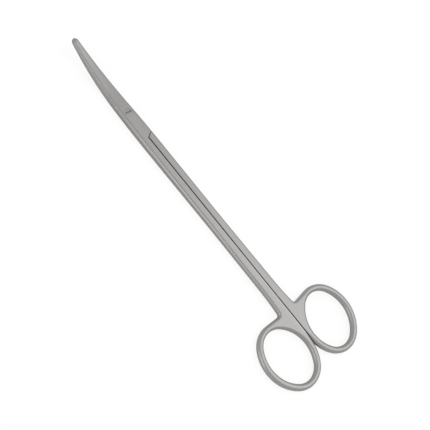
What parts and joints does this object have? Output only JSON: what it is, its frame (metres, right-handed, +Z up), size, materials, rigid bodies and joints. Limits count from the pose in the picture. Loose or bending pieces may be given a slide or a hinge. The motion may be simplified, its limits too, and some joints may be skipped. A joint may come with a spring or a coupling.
{
  "type": "dissecting scissors",
  "caption": "Slim curved dissecting scissors with long shanks, blunt hollow-ground blades, oval finger rings and a slotted screw joint.",
  "frame": {"origin": "where the pivot axis meets the flat underside of the lap joint", "axes": "+X from the pivot towards the blade tips, +Y to the left seen from above with the tips away, +Z up, the side that the blades curve towards; the scissors are closed"},
  "size_m": [0.1778, 0.0544, 0.0075],
  "materials": {
    "satin_steel": "fine satin stainless steel, glare-free",
    "screw_steel": "turned and satin-finished stainless steel"
  },
  "bodies": {
    "lower": {"lower_half": "satin_steel", "pivot_screw": "screw_steel"},
    "upper": {"upper_half": "satin_steel"}
  },
  "joints": [
    {"name": "blade_pivot", "type": "hinge", "parent": "lower", "child": "upper", "pos_m": [0, 0, 0.0019], "axis": [0, 0, -1], "range_deg": [0, 60]}
  ]
}
